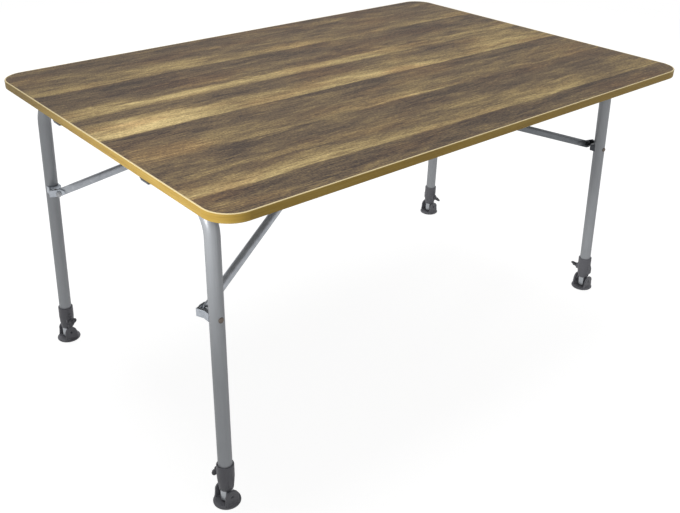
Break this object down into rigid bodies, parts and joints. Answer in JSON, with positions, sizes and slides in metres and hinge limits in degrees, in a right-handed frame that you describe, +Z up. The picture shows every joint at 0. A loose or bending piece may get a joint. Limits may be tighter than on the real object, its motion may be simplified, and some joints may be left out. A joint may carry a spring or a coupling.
{
  "type": "camping table",
  "caption": "Folding camping table: plank-decor board on splayed tubular leg frames with telescopic clamped feet and hooked struts.",
  "frame": {"origin": "on the floor below the middle of the table top", "axes": "+X along the table's length, +Y to the back long side, +Z up from the floor"},
  "size_m": [1.15, 0.79, 0.583],
  "materials": {
    "wood_decor_board": "matt printed plank decor on a light composite board",
    "edge_band": "matt ochre edge band with a pale top line",
    "grey_tube": "satin grey powder coat",
    "inner_tube": "satin aluminium",
    "zinc_tube": "bright zinc-plated tube",
    "zinc_steel": "zinc-plated pressed steel",
    "bolt_steel": "zinc-plated fasteners",
    "bracket_steel": "dark grey coat",
    "dark_plastic": "moulded dark grey plastic",
    "grey_plastic": "moulded grey plastic"
  },
  "bodies": {
    "table_top": {"top_board": "wood_decor_board", "edge_band": "edge_band", "left_front_saddle": "dark_plastic", "left_rear_saddle": "dark_plastic", "right_front_saddle": "dark_plastic", "right_rear_saddle": "dark_plastic", "left_front_strap": "zinc_steel", "left_rear_strap": "zinc_steel", "right_front_strap": "zinc_steel", "right_rear_strap": "zinc_steel", "saddle_screws": "bolt_steel", "keeper_plate": "zinc_steel", "keeper_pins": "bolt_steel", "keeper_screws": "bolt_steel"},
    "left_frame": {"left_leg_frame": "grey_tube", "left_front_sleeve": "grey_plastic", "left_front_bracket": "bracket_steel", "left_front_leg_bolt": "bolt_steel", "left_front_pivot_bolt": "bolt_steel", "left_rear_sleeve": "grey_plastic", "left_rear_bracket": "bracket_steel", "left_rear_leg_bolt": "bolt_steel", "left_rear_pivot_bolt": "bolt_steel"},
    "left_front_strut": {"left_front_strut": "zinc_tube", "left_front_hook": "zinc_steel"},
    "left_front_inner_leg": {"left_front_inner_leg": "inner_tube"},
    "left_front_foot": {"left_front_foot": "grey_plastic", "left_front_foot_pin": "bolt_steel"},
    "left_front_wing_screw": {"left_front_wing_screw": "grey_plastic"},
    "left_rear_strut": {"left_rear_strut": "zinc_tube", "left_rear_hook": "zinc_steel"},
    "left_rear_inner_leg": {"left_rear_inner_leg": "inner_tube"},
    "left_rear_foot": {"left_rear_foot": "grey_plastic", "left_rear_foot_pin": "bolt_steel"},
    "left_rear_wing_screw": {"left_rear_wing_screw": "grey_plastic"},
    "right_frame": {"right_leg_frame": "grey_tube", "right_front_sleeve": "grey_plastic", "right_front_bracket": "bracket_steel", "right_front_leg_bolt": "bolt_steel", "right_front_pivot_bolt": "bolt_steel", "right_rear_sleeve": "grey_plastic", "right_rear_bracket": "bracket_steel", "right_rear_leg_bolt": "bolt_steel", "right_rear_pivot_bolt": "bolt_steel"},
    "right_front_strut": {"right_front_strut": "zinc_tube", "right_front_hook": "zinc_steel"},
    "right_front_inner_leg": {"right_front_inner_leg": "inner_tube"},
    "right_front_foot": {"right_front_foot": "grey_plastic", "right_front_foot_pin": "bolt_steel"},
    "right_front_wing_screw": {"right_front_wing_screw": "grey_plastic"},
    "right_rear_strut": {"right_rear_strut": "zinc_tube", "right_rear_hook": "zinc_steel"},
    "right_rear_inner_leg": {"right_rear_inner_leg": "inner_tube"},
    "right_rear_foot": {"right_rear_foot": "grey_plastic", "right_rear_foot_pin": "bolt_steel"},
    "right_rear_wing_screw": {"right_rear_wing_screw": "grey_plastic"}
  },
  "joints": [
    {"name": "left_frame_fold", "type": "hinge", "parent": "table_top", "child": "left_frame", "pos_m": [-0.53, 0, 0.553], "axis": [0, -1, 0], "range_deg": [0, 90]},
    {"name": "left_front_strut_swing", "type": "hinge", "parent": "left_frame", "child": "left_front_strut", "pos_m": [-0.53581, -0.27143, 0.368], "axis": [-0.4006, 0.9162, 0], "range_deg": [0, 107.97]},
    {"name": "left_front_leg_slide", "type": "slide", "parent": "left_frame", "child": "left_front_inner_leg", "axis": [-0.0314, -0.0401, -0.9987], "range_m": [0, 0.155]},
    {"name": "left_front_foot_swivel", "type": "hinge", "parent": "left_front_inner_leg", "child": "left_front_foot", "pos_m": [-0.54675, -0.31842, 0.02], "axis": [0, 1, 0], "range_deg": [-15, 15]},
    {"name": "left_front_wing_screw_turn", "type": "hinge", "parent": "left_frame", "child": "left_front_wing_screw", "pos_m": [-0.54575, -0.31713, 0.052], "axis": [-0.0013, 0.9992, -0.0401], "range_deg": [0, 360]},
    {"name": "left_rear_strut_swing", "type": "hinge", "parent": "left_frame", "child": "left_rear_strut", "pos_m": [-0.53581, 0.27143, 0.368], "axis": [0.4006, 0.9162, 0], "range_deg": [0, 107.97]},
    {"name": "left_rear_leg_slide", "type": "slide", "parent": "left_frame", "child": "left_rear_inner_leg", "axis": [-0.0314, 0.0401, -0.9987], "range_m": [0, 0.155]},
    {"name": "left_rear_foot_swivel", "type": "hinge", "parent": "left_rear_inner_leg", "child": "left_rear_foot", "pos_m": [-0.54675, 0.31842, 0.02], "axis": [0, 1, 0], "range_deg": [-15, 15]},
    {"name": "left_rear_wing_screw_turn", "type": "hinge", "parent": "left_frame", "child": "left_rear_wing_screw", "pos_m": [-0.54575, 0.31713, 0.052], "axis": [-0.0013, -0.9992, -0.0401], "range_deg": [0, 360]},
    {"name": "right_frame_fold", "type": "hinge", "parent": "table_top", "child": "right_frame", "pos_m": [0.53, 0, 0.529], "axis": [0, 1, 0], "range_deg": [0, 90]},
    {"name": "right_front_strut_swing", "type": "hinge", "parent": "right_frame", "child": "right_front_strut", "pos_m": [0.53506, -0.22362, 0.368], "axis": [-0.3214, -0.9469, 0], "range_deg": [0, 108.56]},
    {"name": "right_front_leg_slide", "type": "slide", "parent": "right_frame", "child": "right_front_inner_leg", "axis": [0.0314, -0.0349, -0.9989], "range_m": [0, 0.155]},
    {"name": "right_front_foot_swivel", "type": "hinge", "parent": "right_front_inner_leg", "child": "right_front_foot", "pos_m": [0.546, -0.26878, 0.02], "axis": [0, 1, 0], "range_deg": [-15, 15]},
    {"name": "right_front_wing_screw_turn", "type": "hinge", "parent": "right_frame", "child": "right_front_wing_screw", "pos_m": [0.54499, -0.26766, 0.052], "axis": [0.0011, 0.9994, -0.0349], "range_deg": [0, 360]},
    {"name": "right_rear_strut_swing", "type": "hinge", "parent": "right_frame", "child": "right_rear_strut", "pos_m": [0.53506, 0.22362, 0.368], "axis": [0.3214, -0.9469, 0], "range_deg": [0, 108.56]},
    {"name": "right_rear_leg_slide", "type": "slide", "parent": "right_frame", "child": "right_rear_inner_leg", "axis": [0.0314, 0.0349, -0.9989], "range_m": [0, 0.155]},
    {"name": "right_rear_foot_swivel", "type": "hinge", "parent": "right_rear_inner_leg", "child": "right_rear_foot", "pos_m": [0.546, 0.26878, 0.02], "axis": [0, 1, 0], "range_deg": [-15, 15]},
    {"name": "right_rear_wing_screw_turn", "type": "hinge", "parent": "right_frame", "child": "right_rear_wing_screw", "pos_m": [0.54499, 0.26766, 0.052], "axis": [0.0011, -0.9994, -0.0349], "range_deg": [0, 360]}
  ],
  "couplings": [
    {"joint": "left_front_strut_swing", "follows": "left_frame_fold", "ratio": 1.1997},
    {"joint": "left_rear_strut_swing", "follows": "left_frame_fold", "ratio": 1.1997},
    {"joint": "right_front_strut_swing", "follows": "right_frame_fold", "ratio": 1.2062},
    {"joint": "right_rear_strut_swing", "follows": "right_frame_fold", "ratio": 1.2062}
  ]
}
